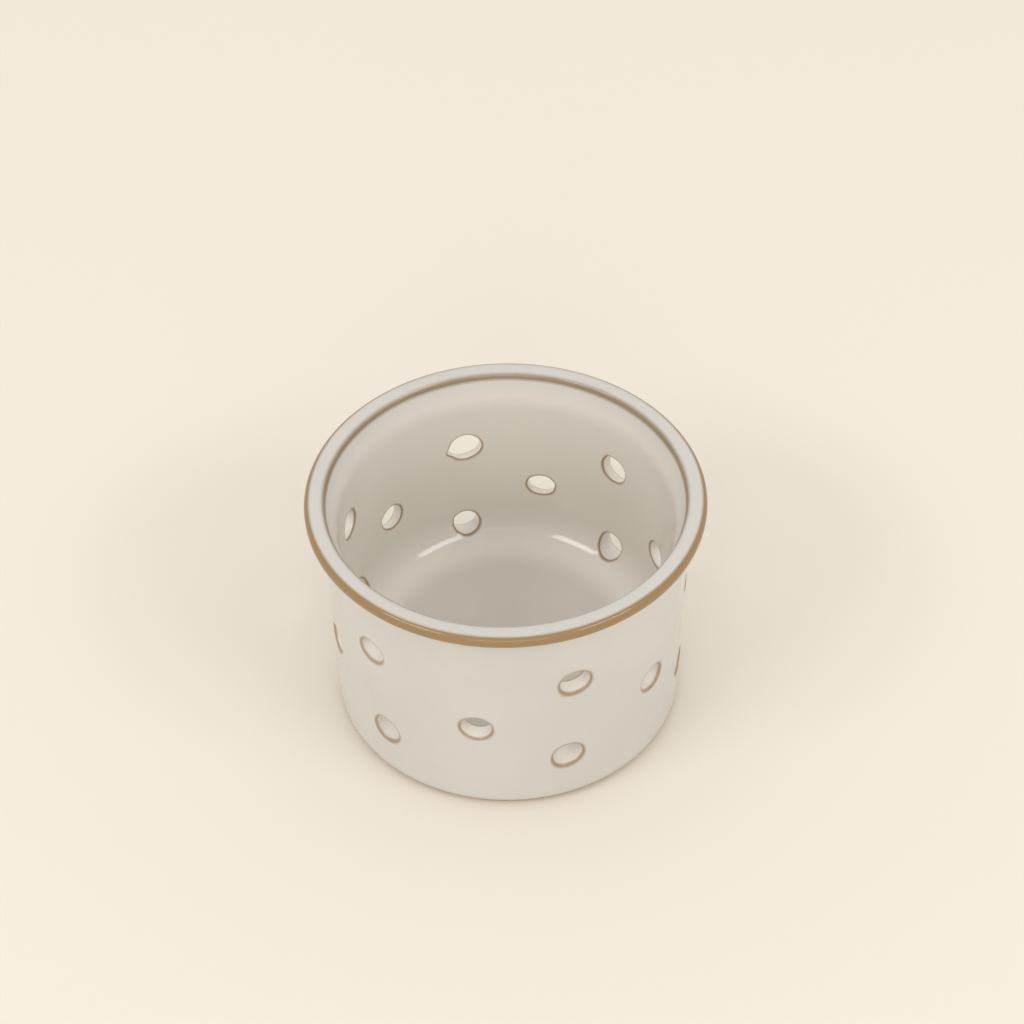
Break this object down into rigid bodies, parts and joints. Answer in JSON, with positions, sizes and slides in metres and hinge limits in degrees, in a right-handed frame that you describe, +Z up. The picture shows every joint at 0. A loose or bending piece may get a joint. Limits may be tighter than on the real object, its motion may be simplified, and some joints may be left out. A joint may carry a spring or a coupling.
{
  "type": "flower frog",
  "caption": "Low round stoneware cup with a rolled lip, pierced all round with staggered rows of stem holes; white glaze breaking to ochre at its edges.",
  "frame": {"origin": "middle of the foot, on the plane that the cup stands on", "axes": "+Z up the cup's axis towards its mouth; X and Y in the plane of the foot, with the first stem hole of the upper row between +X and +Y"},
  "size_m": [0.112, 0.112, 0.075],
  "materials": {
    "fired_clay": "bare fired stoneware, buff with fine iron specks, dry and matt",
    "white_glaze": "glossy warm white glaze, thin enough over the lip, hole edges and foot line to break to ochre"
  },
  "bodies": {
    "root": {"stoneware_body": "fired_clay", "glaze_coat": "white_glaze"}
  },
  "joints": []
}
